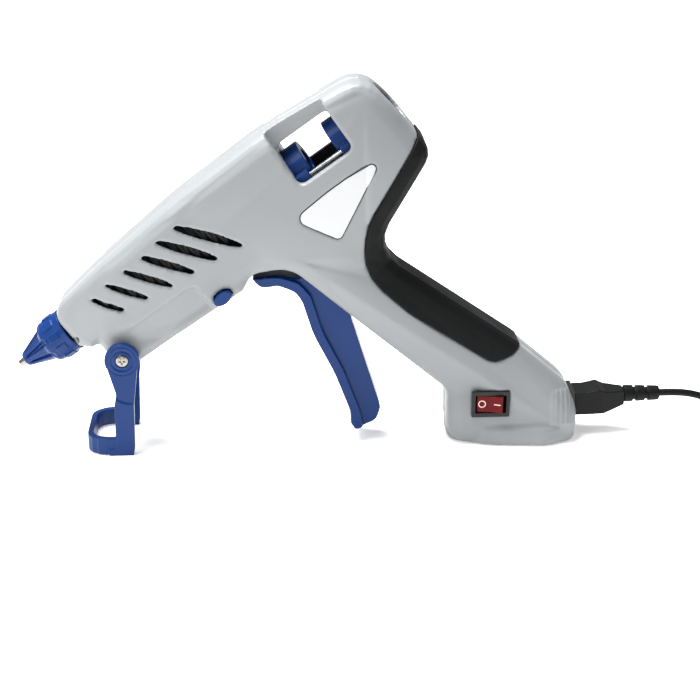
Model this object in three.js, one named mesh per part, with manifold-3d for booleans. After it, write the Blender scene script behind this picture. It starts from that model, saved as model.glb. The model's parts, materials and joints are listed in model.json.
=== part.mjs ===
// A corded hot-melt glue gun for 11 mm sticks, standing on its fold-out stand and on the heel of its handle.
// Millimetres, +Z up, nozzle towards -X, near side -Y, floor at z = 0.
// Barrel pieces are drawn level, with x along the barrel from the nozzle's end (a "station") and z up from the
// barrel's axis (an "offset"), and are then tilted with the barrel.

import * as THREE from "three";
import { mergeVertices } from "three/addons/utils/BufferGeometryUtils.js";
import Module from "manifold-3d";

const wasm = await Module();
wasm.setup();

// ---- sizes ----

const gap = 0.3; // between pieces that touch
const runningGap = 0.6; // between pieces that move past each other
const wall = 2.5; // housing wall

const nozzleEnd = { x: -157.03, z: 47.5 }; // end of the nozzle
const barrelRise = (35.5 * Math.PI) / 180; // tilt of the barrel
const noseStation = 36.3; // front face of the housing
const barrelLength = 221; // housing, nose to rear face
const rearStation = noseStation + barrelLength;
const bodyHalfWidth = 22.5;
const edgeRadius = 8.5; // rounding of the housing's edges
const noseHalfWidth = 17;
const noseTaper = 62; // length over which the nose widens
const noseTop = 15.8; // offsets of the nose's face
const noseBottom = -8.5;
const crownOffset = 28.4; // highest part of the barrel
const bellyOffset = -35.5; // lowest part of the barrel

const handleHalfWidth = 18;
const handleSlope = (44 * Math.PI) / 180; // lean of the handle's front edge
const handleTop = { behind: 84.7, offset: -80.1 }; // front of the handle, measured from the barrel's rear end
const heelHeight = 31;
const heelLength = 74.6;
const heelHalfWidth = 20;
const heelFlare = 30; // height over which the heel widens
const footHalfWidth = 24.5; // flange round the heel's base
const footHeight = 12.7;
const footEdge = 9; // height of its upright side

const windowFront = 66.5; // measured forward from the barrel's rear end
const windowLength = 35;
const windowBottom = -5.5;
const windowTop = 18;
const windowCorner = 4;
const bridgeHalfWidth = 11; // bar over the window

const stickBore = 6.2; // radius, for an 11 mm stick
const chamberRadius = 11;
const chamberLength = 83;
const sleeveRadius = 9.5;
const sleeveLap = 4; // sleeve pushed over the chamber
const ringRadius = 11.8; // carriage and rear guide
const carriageLength = 14.5;
const carriageRear = 57; // its rear face, forward of the barrel's rear end
const feedStroke = 11.26; // travel at a full pull

const pullAngle = (18 * Math.PI) / 180;
const driveRadius = 36; // trigger pin to drive pin
const pivotBehind = 79.3; // trigger pin, forward of the barrel's rear end
const pivotOffset = -50;
const pinRadius = 2.5;
const drivePinRadius = 2;
const bladeHalfWidth = 8.5;
const fingerHalfWidth = 11;
const slotHalfWidth = fingerHalfWidth + runningGap;

const standPivot = { station: 53.7, offset: -26.6 };
const standHead = 9.7; // radius round its screw
const recessFloor = 18.5; // half width of the housing under the folded arms
const armInner = recessFloor + 0.4;
const armThickness = 4;
const armWidth = 11;
const loopReach = 22.5; // loop's front, ahead of the pivot
const loopHeight = 9.5;
const loopBand = 3.2;

const gripDepth = 2.2;
const gripProud = 0.7;

const ventCount = 6;
const ventLength = 41;
const ventShortening = 3.2; // from each vent to the next
const ventPitch = 12.5;
const ventFullness = 0.084; // how far its sides bow, as a share of its length

const screwRadius = 1.5;
const bossRadius = 4.2;
const wellRadius = 3.5;

const cordRadius = 2.1;
const coilTurnRadius = 24.4; // middle of the turns
const coilTurnsAcross = 3;
const coilLayers = 4;
const coilAhead = 88.05; // from the strain relief's end to the middle of the coil

// ---- materials ----

const finish = (color, roughness, metalness = 0) =>
  new THREE.MeshStandardMaterial({ color, roughness, metalness });
const greyShell = () => finish("#b4b6b8", 0.55);
const bluePlastic = () => finish("#1f4f9c", 0.4);
const blackRubber = () => finish("#2b2d2e", 0.8);
const blackPlastic = () => finish("#222425", 0.5);
const redPlastic = () => finish("#9a2328", 0.3);
const silverPlate = () => finish("#d4d5d6", 0.35, 0.3);
const steel = () => finish("#b9bcc0", 0.3, 1);
const aluminium = () => finish("#c9cbcd", 0.45, 1);
const brass = () => finish("#b08d4a", 0.35, 1);
const silicone = () => finish("#b5452f", 0.7);
const ceramic = () => finish("#e6e1d6", 0.6);
const cordJacket = () => finish("#1d1e1f", 0.6);

// ---- shape helpers ----

// A closed three.js geometry as a solid, with its faces pointing out.
function solid(geometry) {
  const bare = geometry.clone();
  bare.deleteAttribute("normal");
  bare.deleteAttribute("uv");
  const merged = mergeVertices(bare, 1e-4);
  const triangles = [];
  const index = merged.index.array;
  for (let i = 0; i < index.length; i += 3) {
    const [a, b, c] = [index[i], index[i + 1], index[i + 2]];
    if (a !== b && b !== c && c !== a) triangles.push(a, b, c);
  }
  const build = () =>
    new wasm.Manifold(
      new wasm.Mesh({
        numProp: 3,
        vertProperties: merged.attributes.position.array,
        triVerts: new Uint32Array(triangles),
      }),
    );
  const made = build();
  if (made.volume() > 0) return made;
  triangles.reverse();
  return build();
}

const joined = (...solids) => solids.reduce((a, b) => a.add(b));
const cut = (from, ...tools) => tools.reduce((a, b) => a.subtract(b), from);

// A named mesh from a solid.
function piece(name, made, material) {
  const { vertProperties, triVerts } = made.getMesh();
  const geometry = new THREE.BufferGeometry();
  geometry.setAttribute("position", new THREE.BufferAttribute(vertProperties, 3));
  geometry.setIndex(new THREE.BufferAttribute(triVerts, 1));
  geometry.computeVertexNormals();
  const mesh = new THREE.Mesh(geometry, material);
  mesh.name = name;
  return mesh;
}

// Corners [x, z, fillet radius] to a closed outline, with each fillet as an arc.
function filleted(corners) {
  const points = [];
  corners.forEach(([x, z, radius = 0], i) => {
    const here = new THREE.Vector2(x, z);
    if (!radius) {
      points.push(here);
      return;
    }
    const toBefore = new THREE.Vector2(...corners.at(i - 1).slice(0, 2)).sub(here);
    const toAfter = new THREE.Vector2(...corners[(i + 1) % corners.length].slice(0, 2)).sub(here);
    const room = 0.499 * Math.min(toBefore.length(), toAfter.length());
    toBefore.normalize();
    toAfter.normalize();
    const half = Math.acos(THREE.MathUtils.clamp(toBefore.dot(toAfter), -1, 1)) / 2;
    const reach = Math.min(radius / Math.tan(half), room);
    const turn = Math.sign(toBefore.cross(toAfter)) * (Math.PI - 2 * half);
    const start = here.clone().addScaledVector(toBefore, reach);
    const middle = toBefore.clone().add(toAfter).setLength(reach / Math.cos(half)).add(here);
    const steps = Math.max(1, Math.ceil(Math.abs(turn) / 0.42));
    for (let k = 0; k <= steps; k++) {
      points.push(start.clone().rotateAround(middle, (-turn * k) / steps));
    }
  });
  return points;
}

// A closed outline moved inwards by a distance, or outwards if it is negative.
function inset(points, distance) {
  const area = THREE.ShapeUtils.area(points);
  const side = Math.sign(area) * distance;
  return points.map((here, i) => {
    const before = here.clone().sub(points.at(i - 1)).normalize();
    const after = points[(i + 1) % points.length].clone().sub(here).normalize();
    const miter = 1 + before.dot(after);
    return new THREE.Vector2(
      here.x - (side * (before.y + after.y)) / miter,
      here.y + (side * (before.x + after.x)) / miter,
    );
  });
}

// An x, z outline carried from yLow to yHigh.
function plate(points, yLow, yHigh) {
  return new THREE.ExtrudeGeometry(new THREE.Shape(points), {
    depth: yHigh - yLow,
    bevelEnabled: false,
  })
    .rotateX(Math.PI / 2)
    .translate(0, yHigh, 0);
}

// An x, y outline carried from zLow to zHigh.
function slab(points, zLow, zHigh) {
  return new THREE.ExtrudeGeometry(new THREE.Shape(points), {
    depth: zHigh - zLow,
    bevelEnabled: false,
  }).translate(0, 0, zLow);
}

function block(xLow, xHigh, yLow, yHigh, zLow, zHigh) {
  return new THREE.BoxGeometry(xHigh - xLow, yHigh - yLow, zHigh - zLow).translate(
    (xLow + xHigh) / 2,
    (yLow + yHigh) / 2,
    (zLow + zHigh) / 2,
  );
}

const rodX = (radius, xLow, xHigh, y = 0, z = 0, sides = 20) =>
  new THREE.CylinderGeometry(radius, radius, xHigh - xLow, sides)
    .rotateZ(-Math.PI / 2)
    .translate((xLow + xHigh) / 2, y, z);

const rodY = (radius, yLow, yHigh, x, z, sides = 20) =>
  new THREE.CylinderGeometry(radius, radius, yHigh - yLow, sides).translate(x, (yLow + yHigh) / 2, z);

// A profile of [x, radius] turned about the x axis.
const turnedX = (profile, sides = 28) =>
  new THREE.LatheGeometry(
    profile.map(([x, radius]) => new THREE.Vector2(radius, x)),
    sides,
  ).rotateZ(-Math.PI / 2);

// A round tube along a curve.
function tube(curve, radius, steps, sides) {
  const section = new THREE.Shape();
  for (let i = 0; i < sides; i++) {
    const angle = (2 * Math.PI * i) / sides;
    const at = [radius * Math.cos(angle), radius * Math.sin(angle)];
    if (i) section.lineTo(...at);
    else section.moveTo(...at);
  }
  return new THREE.ExtrudeGeometry(section, { steps, extrudePath: curve, bevelEnabled: false });
}

// ---- places ----

const barrelMatrix = new THREE.Matrix4()
  .makeTranslation(nozzleEnd.x, 0, nozzleEnd.z)
  .multiply(new THREE.Matrix4().makeRotationY(-barrelRise));
const tilted = (geometry) => solid(geometry.applyMatrix4(barrelMatrix));
const onBarrel = (made) => made.transform(barrelMatrix.elements);

// The x and z of a station and offset on the barrel.
const at = (station, offset) => [
  nozzleEnd.x + station * Math.cos(barrelRise) - offset * Math.sin(barrelRise),
  nozzleEnd.z + station * Math.sin(barrelRise) + offset * Math.cos(barrelRise),
];
const fromRear = (forward, offset) => at(rearStation - forward, offset);

const [handleTopX, handleTopZ] = fromRear(handleTop.behind, handleTop.offset);
const heelFront = handleTopX + (handleTopZ - heelHeight) / Math.tan(handleSlope);
const heelRear = heelFront + heelLength;
const [standX, standZ] = at(standPivot.station, standPivot.offset);
const [pivotX, pivotZ] = fromRear(pivotBehind, pivotOffset);
const pivotStation = rearStation - pivotBehind;
const drivePin = {
  station: pivotStation + driveRadius * Math.sin(pullAngle / 2),
  offset: pivotOffset + driveRadius * Math.cos(pullAngle / 2),
};
const windowStart = rearStation - windowFront;
const windowEnd = windowStart + windowLength;
const carriageBack = rearStation - carriageRear;
const carriageFront = carriageBack - carriageLength;
const recessEnd = standPivot.station + standZ + 0.8;

// ---- housing ----

// The side view of the whole housing, clockwise from the top of the nose.
function bodyOutline() {
  const archPeak = fromRear(99.6, -40.6);
  return filleted([
    [...at(noseStation, noseTop), 10],
    [...at(75, 21.7), 90],
    [...fromRear(127, crownOffset - 1.6), 150],
    [...fromRear(66, crownOffset), 150],
    [...fromRear(6, 22.8), 26],
    [...fromRear(1.5, -2), 60],
    [...fromRear(0, -33.2), 10],
    [handleTopX + 10.1, handleTopZ + 32.2, 20],
    [heelFront + 38.3, 59, 12],
    [heelFront + 68.5, 33.5, 16],
    [heelRear, 19.5, 12],
    [heelRear, 0, 12],
    [heelFront, 0, 12],
    [heelFront, heelHeight, 8],
    [archPeak[0], archPeak[1], 18],
    [archPeak[0] - 20.5, archPeak[1] - 3.5, 8],
    [archPeak[0] - 25, archPeak[1] - 12.4, 0],
    [...fromRear(157, bellyOffset), 12],
    [...at(46, bellyOffset), 10],
    [...at(46, noseBottom - 6), 0],
    [...at(41.5, noseBottom - 5.6), 0],
    [...at(noseStation, noseBottom), 0],
  ]);
}

// The housing's half width at a place in its side view: it widens from the nose, narrows to the handle and
// flares again at the heel.
function halfWidthAt(x, z) {
  const station = (x - nozzleEnd.x) * Math.cos(barrelRise) + (z - nozzleEnd.z) * Math.sin(barrelRise);
  const offset = (z - nozzleEnd.z) * Math.cos(barrelRise) - (x - nozzleEnd.x) * Math.sin(barrelRise);
  const { lerp, smoothstep } = THREE.MathUtils;
  const barrel = lerp(noseHalfWidth, bodyHalfWidth, smoothstep(station, noseStation, noseStation + noseTaper));
  const heel = 1 - smoothstep(z, heelFlare * 0.2, heelFlare + 8);
  const handle = lerp(handleHalfWidth, heelHalfWidth, heel);
  return lerp(barrel, handle, 1 - smoothstep(offset, -78, -44));
}

// The housing's outer form, moved inwards by a depth, with rounded edges.
function bodyForm(depth) {
  const round = edgeRadius - depth;
  const geometry = new THREE.ExtrudeGeometry(new THREE.Shape(inset(bodyOutline(), edgeRadius)), {
    depth: 2 * (bodyHalfWidth - edgeRadius),
    bevelSize: round,
    bevelThickness: round,
    bevelSegments: 3,
  })
    .rotateX(Math.PI / 2)
    .translate(0, bodyHalfWidth - edgeRadius, 0);
  const place = geometry.attributes.position;
  for (let i = 0; i < place.count; i++) {
    const share = (halfWidthAt(place.getX(i), place.getZ(i)) - depth) / (bodyHalfWidth - depth);
    place.setY(i, place.getY(i) * share);
  }
  return solid(geometry);
}

// The part of the side view that the rubber grip covers, grown by a margin.
function gripArea(margin) {
  const outline = filleted([
    [...fromRear(-14, -15), 0],
    [...fromRear(2.5, -22.5), 3],
    [...fromRear(50.9, -44.7), 30],
    [...fromRear(68.4, -66.6), 28],
    [heelFront - 22, 80, 25],
    [heelFront + 25, 49.3, 9],
    [heelFront + 35.8, 53, 5],
    [heelFront + 57, 72, 0],
    [heelFront + 17.5, 120, 0],
  ]);
  return solid(plate(inset(outline, -margin), -40, 40));
}

// The lens-shaped vents, cut through both sides.
function vents() {
  const start = new THREE.Vector2(...at(121.5, 17.4));
  const step = new THREE.Vector2(-9.56, -8.1).setLength(ventPitch);
  const lenses = [];
  for (let i = 0; i < ventCount; i++) {
    const tilt = -(16 + 0.8 * i) * (Math.PI / 180);
    const along = new THREE.Vector2(Math.cos(tilt), Math.sin(tilt));
    const across = new THREE.Vector2(-along.y, along.x);
    const front = start.clone().addScaledVector(step, i);
    const length = ventLength - ventShortening * i;
    const back = front.clone().addScaledVector(along, length);
    const bowed = (share, side) =>
      front
        .clone()
        .addScaledVector(along, share * length)
        .addScaledVector(across, side * ventFullness * length);
    const lens = new THREE.Shape();
    lens.moveTo(front.x, front.y);
    const [a, b] = [bowed(0.06, 1), bowed(0.92, 1)];
    const [c, d] = [bowed(0.92, -1), bowed(0.06, -1)];
    lens.bezierCurveTo(a.x, a.y, b.x, b.y, back.x, back.y);
    lens.bezierCurveTo(c.x, c.y, d.x, d.y, front.x, front.y);
    lenses.push(solid(plate(lens.getPoints(7).slice(0, -1), -40, 40)));
  }
  return joined(...lenses);
}

const windowArea = (margin) =>
  filleted([
    [windowStart - margin, windowBottom - margin, windowCorner],
    [windowStart - margin, windowTop + margin, windowCorner],
    [windowEnd + margin, windowTop + margin, windowCorner],
    [windowEnd + margin, windowBottom - margin, windowCorner],
  ]);

// The recesses that the folded stand lies in, from a half width outwards, grown by a margin.
function standRecess(floor, margin) {
  const band = plate(
    filleted([
      [standPivot.station, -15.8 + margin, 0],
      [recessEnd + margin, -15.8 + margin, 3],
      [recessEnd + margin, -60, 0],
      [standPivot.station, -60, 0],
    ]),
    floor,
    40,
  );
  const head = rodY(standHead + 1.2 + margin, floor, 40, standPivot.station, standPivot.offset, 28);
  const front = plate(
    filleted([
      [standPivot.station - 12 - margin, standPivot.offset, 0],
      [standPivot.station + 4, standPivot.offset, 0],
      [standPivot.station + 4, -60, 0],
      [standPivot.station - 12 - margin, -60, 0],
    ]),
    floor,
    40,
  );
  const one = joined(tilted(band), tilted(head), tilted(front));
  return one.add(one.mirror([0, 1, 0]));
}

// Where the trigger comes through the arch and the front of the handle.
const triggerSlot = () =>
  solid(
    plate(
      [
        [pivotX - 42.4, pivotZ - 16],
        [pivotX - 42.4, pivotZ - 3],
        [pivotX - 16, pivotZ + 14],
        [pivotX + 20, pivotZ],
        [pivotX + 58, pivotZ - 60],
        [pivotX + 50, pivotZ - 78],
        [pivotX + 8, pivotZ - 42],
        [pivotX - 16, pivotZ - 22],
      ].map(([x, z]) => new THREE.Vector2(x, z)),
      -slotHalfWidth,
      slotHalfWidth,
    ),
  );

const screwPlaces = [
  at(75, 18),
  at(150, 21.8),
  fromRear(19.3, 19),
  at(132, -26),
  [handleTopX + 4, handleTopZ + 49.5],
  [heelFront - 2.5, 53.5],
  [heelRear - 32.1, 17],
];

const latchPlace = at(recessEnd + 8.3, -30.9);
const latchBack = 7.5 - bodyHalfWidth;
const switchPlace = { x: heelFront + 24.1, z: 25.5 };
const bezelFace = 19.2; // half width at which the switch bezel sits
const bezelSize = { x: 21.5, z: 15.5, thick: 1.8 };
const cutOut = { x: 18.8, z: 12.8 };
const inlet = { z: 19.3, halfHeight: 7.6, halfWidth: 9, depth: 23, face: heelRear - 0.4 };

// An oval with its long side along the barrel.
function oval(long, short, yLow, yHigh, [x, z]) {
  const ring = new THREE.EllipseCurve(0, 0, long / 2, short / 2).getPoints(20).slice(0, -1);
  return solid(plate(ring, yLow, yHigh).rotateY(-barrelRise).translate(x, 0, z));
}

// The hollow inside the shells.
function cavity() {
  const thickWindow = plate(
    [
      [windowStart - wall, windowBottom - wall],
      [windowStart - wall, 60],
      [windowEnd + wall, 60],
      [windowEnd + wall, windowBottom - wall],
    ].map(([x, z]) => new THREE.Vector2(x, z)),
    -40,
    40,
  );
  const switchSeat = block(
    switchPlace.x - bezelSize.x / 2 - wall,
    switchPlace.x + bezelSize.x / 2 + wall,
    -40,
    -bezelFace + gap + wall,
    switchPlace.z - bezelSize.z / 2 - wall,
    switchPlace.z + bezelSize.z / 2 + wall,
  );
  const under = gripArea(wall).subtract(bodyForm(wall + gripDepth + gap));
  return cut(
    bodyForm(wall),
    under,
    tilted(thickWindow),
    standRecess(recessFloor - wall, wall),
    solid(switchSeat),
  );
}

// Everything that is cut out of the shells' walls.
function openings() {
  const channelRear = rodX(ringRadius + gap, windowEnd - 1, rearStation + 10, 0, 0, 28);
  const channelFront = rodX(ringRadius + 1, carriageFront - feedStroke - 6, windowEnd - 1, 0, 0, 28);
  const lugWay = block(carriageFront - feedStroke - 6, windowEnd, -17, 17, -9.6, -1);
  const forkWay = block(pivotStation - 14, carriageBack + 2, -9, 9, -26, -5);
  const noseHole = rodX(chamberRadius + runningGap, noseStation - 6, noseStation + 8, 0, 0, 28);
  const besideBridge = plate(
    filleted([
      [windowStart, windowTop - 4, 0],
      [windowStart, 60, 0],
      [windowEnd, 60, 0],
      [windowEnd, windowTop - 4, 0],
    ]),
    bridgeHalfWidth,
    40,
  );
  const oneSide = tilted(besideBridge);
  const switchHole = block(
    switchPlace.x - cutOut.x / 2 - gap,
    switchPlace.x + cutOut.x / 2 + gap,
    -40,
    -10,
    switchPlace.z - cutOut.z / 2 - gap,
    switchPlace.z + cutOut.z / 2 + gap,
  );
  const bezelSeat = block(
    switchPlace.x - bezelSize.x / 2 - gap,
    switchPlace.x + bezelSize.x / 2 + gap,
    -40,
    -bezelFace + gap,
    switchPlace.z - bezelSize.z / 2 - gap,
    switchPlace.z + bezelSize.z / 2 + gap,
  );
  const inletHole = block(
    inlet.face - inlet.depth,
    heelRear + 10,
    -inlet.halfWidth - gap,
    inlet.halfWidth + gap,
    inlet.z - inlet.halfHeight - gap,
    inlet.z + inlet.halfHeight + gap,
  );
  return joined(
    vents(),
    tilted(plate(windowArea(0), -40, 40)),
    oneSide,
    oneSide.mirror([0, 1, 0]),
    tilted(channelRear),
    tilted(channelFront),
    tilted(lugWay),
    tilted(forkWay),
    tilted(noseHole),
    triggerSlot(),
    oval(12, 7.6, -40, -12, latchPlace),
    solid(switchHole),
    solid(bezelSeat),
    solid(inletHole),
  );
}

// The rounded triangle of the badge, seen from the side.
const badgeArea = () =>
  filleted([
    [...fromRear(80.5, -17.6), 4.5],
    [...fromRear(50, -15.4), 90],
    [...fromRear(21.5, -17.6), 2.5],
    [...fromRear(66.8, -42.4), 3],
  ]);
const badgeDepth = 0.8;

// Bosses, ribs and seats inside one shell; side is -1 for the near shell and 1 for the far one.
function shellRibs(side) {
  const span = (low, high) => (side < 0 ? [-high, -low] : [low, high]);
  const bosses = screwPlaces.map(([x, z]) => solid(rodY(bossRadius, ...span(0.15, 30), x, z, 16)));
  const pivotBoss = solid(rodY(5.2, ...span(slotHalfWidth + 0.2, 30), pivotX, pivotZ, 20));
  const standBoss = tilted(
    rodY(5, ...span(9, 30), standPivot.station, standPivot.offset, 20),
  );
  const guideSeat = tilted(
    block(carriageFront - feedStroke - 8.4, carriageFront - feedStroke - 4, ...span(13, 30), -10, 0),
  );
  return joined(...bosses, pivotBoss, standBoss, guideSeat);
}

// Holes in those bosses and ribs.
function shellHoles(side) {
  const span = (low, high) => (side < 0 ? [-high, -low] : [low, high]);
  const holes = screwPlaces.map(([x, z]) =>
    solid(rodY(screwRadius + gap, ...span(-1, side < 0 ? 11 : 30), x, z, 12)),
  );
  const wells = side > 0 ? screwPlaces.map(([x, z]) => solid(rodY(wellRadius, 9, 40, x, z, 16))) : [];
  const pivotHole = solid(rodY(pinRadius + gap, ...span(0, 19 + gap), pivotX, pivotZ, 16));
  const standHole = tilted(
    rodY(1.6 + gap, ...span(0, 30), standPivot.station, standPivot.offset, 16),
  );
  const rodHole = tilted(
    side < 0
      ? rodX(guideRod.radius + gap, 0, windowEnd, -guideRod.y, guideRod.z, 12)
      : block(0, windowEnd, guideRail.y - 1.5 - gap, guideRail.y + 1.5 + gap, -9 - gap, -3 + gap),
  );
  return joined(...holes, ...wells, pivotHole, standHole, rodHole);
}

const guideRod = { radius: 1.5, y: 13.6, z: -4.6 };
const guideRail = { y: 13.8 };

// The flange round the heel's base: upright at its edge, then sloping in to the handle.
function foot() {
  const plan = filleted([
    [heelFront + 0.4, -13, 10],
    [heelFront + 24, -footHalfWidth + 2, 25],
    [heelFront + 56, -footHalfWidth - 0.3, 14],
    [heelRear - 0.4, -17, 10],
    [heelRear - 0.4, 17, 10],
    [heelFront + 56, footHalfWidth + 0.3, 14],
    [heelFront + 24, footHalfWidth - 2, 25],
    [heelFront + 0.4, 13, 10],
  ]);
  const round = 3;
  const geometry = new THREE.ExtrudeGeometry(new THREE.Shape(inset(plan, round)), {
    depth: footHeight - 2 * round,
    bevelSize: round,
    bevelThickness: round,
    bevelSegments: 2,
  }).translate(0, 0, round);
  const place = geometry.attributes.position;
  for (let i = 0; i < place.count; i++) {
    const above = Math.max(0, place.getZ(i) - footEdge) / (footHeight - footEdge);
    place.setY(i, place.getY(i) * (1 - 0.25 * above));
  }
  return solid(geometry);
}

function housingShell(name, side) {
  const pocket = gripArea(gap).intersect(bodyForm(-gripProud - 1).subtract(bodyForm(gripDepth + gap)));
  const halfSpace = solid(block(-400, 500, side < 0 ? -60 : 0.15, side < 0 ? -0.15 : 60, -60, 400));
  const badgePocket = cut(
    solid(plate(inset(badgeArea(), -gap), -40, 40)),
    bodyForm(badgeDepth + gap),
  );
  const outer = bodyForm(0).add(foot());
  const shell = cut(outer, cavity()).add(shellRibs(side).intersect(outer));
  return piece(
    name,
    cut(
      shell.intersect(halfSpace),
      pocket,
      standRecess(recessFloor, 0),
      openings(),
      badgePocket,
      shellHoles(side),
    ),
    greyShell(),
  );
}

// A thin plate that follows the shell's surface; side is -1 near and 1 far.
function badge(name, side) {
  const area = solid(plate(badgeArea(), side < 0 ? -40 : 5, side < 0 ? -5 : 40));
  return piece(name, area.intersect(bodyForm(0.1).subtract(bodyForm(badgeDepth))), silverPlate());
}

const grip = () =>
  piece(
    "grip",
    gripArea(0).intersect(bodyForm(-gripProud).subtract(bodyForm(gripDepth))),
    blackRubber(),
  );

function housingScrew(index) {
  const [x, z] = screwPlaces[index];
  const head = solid(rodY(3, 9 + gap, 11.5, x, z, 16));
  const shaft = solid(rodY(screwRadius, -10, 9.5, x, z, 12));
  const slots = [
    solid(block(x - 1.7, x + 1.7, 10.4, 13, z - 0.35, z + 0.35)),
    solid(block(x - 0.35, x + 0.35, 10.4, 13, z - 1.7, z + 1.7)),
  ];
  return piece("housing_screw_" + (index + 1), cut(head.add(shaft), ...slots), steel());
}

// ---- nozzle and heating ----

function nozzleCollar() {
  const length = noseStation - gap;
  const cone = solid(
    turnedX([
      [4.3, 3.1],
      [4.3, 3.8],
      [5.2, 4.4],
      [20, 10],
      [21.8, 11.9],
      [23, 12.3],
      [length - 1.5, 12.8],
      [length, 12.9],
      [length, 8.4],
      [24, 8.4],
      [6, 3.1],
      [4.3, 3.1],
    ]),
  );
  const pads = [];
  const flutes = [];
  for (let i = 0; i < 10; i++) {
    const turn = (i * 2 * Math.PI) / 10;
    pads.push(solid(block(26, 32, -2.2, 2.2, 11, 13.2).rotateX(turn)));
    const flute = block(-6.2, 6.2, -0.6, 0.6, -1.1, 1.1).rotateY(-0.36).translate(13.2, 0, 8.4);
    flutes.push(solid(flute.rotateX(turn + Math.PI / 10)));
  }
  return piece("nozzle_collar", cut(joined(cone, ...pads), ...flutes), bluePlastic());
}

const nozzleTip = () =>
  piece(
    "nozzle_tip",
    solid(
      turnedX(
        [
          [0, 0.9],
          [0, 1.6],
          [0.6, 2],
          [5, 2.4],
          [7, 2.6],
          [24, 6.4],
          [34, 6.4],
          [34, 5.2],
          [46, 5.2],
          [46, 2.6],
          [10, 1.4],
          [2, 0.9],
          [0, 0.9],
        ],
        24,
      ),
    ),
    brass(),
  );

const chamberFront = noseStation + 0.7;
const chamberBack = chamberFront + chamberLength;

function meltChamber() {
  const turned = solid(
    turnedX([
      [chamberFront, 5.5],
      [chamberFront, 8],
      [chamberFront + 8, 8],
      [chamberFront + 12, chamberRadius],
      [chamberBack - 12, chamberRadius],
      [chamberBack - 10, 7.8],
      [chamberBack, 7.8],
      [chamberBack, stickBore],
      [chamberFront + 14, stickBore],
      [chamberFront + 10.5, 5.5],
      [chamberFront, 5.5],
    ]),
  );
  const seat = solid(block(chamberFront + 19, chamberFront + 56, -8, 8, -12.4, -8));
  return piece("melt_chamber", joined(turned, seat), aluminium());
}

const heater = { start: chamberFront + 20, end: chamberFront + 50, top: -12.4 - gap };
const ptcHeater = () =>
  piece(
    "ptc_heater",
    solid(block(heater.start, heater.end, -6, 6, heater.top - 4, heater.top)),
    ceramic(),
  );

function heaterClip() {
  const start = heater.start + 6;
  const end = heater.end - 6;
  const outer = block(start, end, -13, 13, heater.top - 6.5, 12.5);
  const inner = block(start - 1, end + 1, -12, 12, heater.top - 4 - gap, 11.3);
  return piece("heater_clip", cut(solid(outer), solid(inner)), steel());
}

// A ring that holds the chamber in the shells.
const mountRadius = Math.min(chamberRadius + 4, bodyHalfWidth - wall - 1.8);
const chamberMount = (name, station) =>
  piece(
    name,
    solid(
      turnedX(
        [
          [station, chamberRadius + gap],
          [station, mountRadius],
          [station + 4, mountRadius],
          [station + 4, chamberRadius + gap],
          [station, chamberRadius + gap],
        ],
        24,
      ),
    ),
    ceramic(),
  );

const sleeveFront = chamberBack - sleeveLap;
const sleeveBack = carriageFront - feedStroke - 7;

const inletSleeve = () =>
  piece(
    "inlet_sleeve",
    solid(
      turnedX([
        [sleeveFront, 7.8 + gap],
        [sleeveFront, sleeveRadius],
        [sleeveBack, sleeveRadius],
        [sleeveBack, stickBore + 0.6],
        [sleeveBack - 3, stickBore],
        [chamberBack + gap, stickBore],
        [chamberBack + gap, 7.8 + gap],
        [sleeveFront, 7.8 + gap],
      ]),
    ),
    silicone(),
  );

const sleeveClamp = () =>
  piece(
    "sleeve_clamp",
    solid(
      turnedX(
        [
          [sleeveFront + 0.5, sleeveRadius + gap],
          [sleeveFront + 0.5, sleeveRadius + 1.1],
          [sleeveFront + 3.5, sleeveRadius + 1.1],
          [sleeveFront + 3.5, sleeveRadius + gap],
          [sleeveFront + 0.5, sleeveRadius + gap],
        ],
        24,
      ),
    ),
    steel(),
  );

const thermalFuse = () =>
  piece("thermal_fuse", solid(rodX(1.9, heater.end + 3, heater.end + 14, 0, -15.2, 12)), silverPlate());

// ---- feed ----

const ring = (front, back, sides = 28) =>
  solid(
    turnedX(
      [
        [front, stickBore + 0.4],
        [front, ringRadius],
        [back, ringRadius],
        [back, stickBore + 0.4],
        [front, stickBore + 0.4],
      ],
      sides,
    ),
  );

function feedCarriage() {
  const lug = (side, y) =>
    solid(
      block(
        carriageFront + 1,
        carriageBack - 2,
        ...(side < 0 ? [-y - 2.6, -7] : [7, y + 2.6]),
        -8.4,
        -1.6,
      ),
    );
  const bore = solid(rodX(stickBore + 0.4, 0, rearStation, 0, 0, 28));
  const forkPlate = (yLow, yHigh) =>
    solid(
      plate(
        filleted([
          [drivePin.station - 6.5, -9.5, 0],
          [carriageBack - 4, -9.5, 0],
          [carriageBack - 4, -12, 0],
          [drivePin.station + 6, -19, 2],
          [drivePin.station - 6.5, -19, 2],
        ]),
        yLow,
        yHigh,
      ),
    );
  const body = joined(
    ring(carriageFront, carriageBack),
    lug(-1, guideRod.y),
    lug(1, guideRail.y),
    forkPlate(-7, -4),
    forkPlate(4, 7),
  );
  const pinWay = block(
    drivePin.station - drivePinRadius - gap,
    drivePin.station + drivePinRadius + gap,
    -9,
    9,
    -21,
    drivePin.offset + drivePinRadius + 1,
  );
  return piece(
    "feed_carriage",
    cut(
      body,
      bore,
      solid(pinWay),
      solid(rodX(guideRod.radius + gap, 0, rearStation, -guideRod.y, guideRod.z, 12)),
      solid(block(0, rearStation, guideRail.y - 1.5 - gap, guideRail.y + 1.5 + gap, -9, -3 + gap)),
      solid(block(carriageFront - 1, carriageBack - 2, -3.6, 3.6, -14, 0)),
      solid(rodY(1 + gap, -7, 7, jawPivot.station, jawPivot.offset, 12)),
    ),
    bluePlastic(),
  );
}

const jawPivot = { station: carriageBack - 5, offset: -10.2 };

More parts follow.
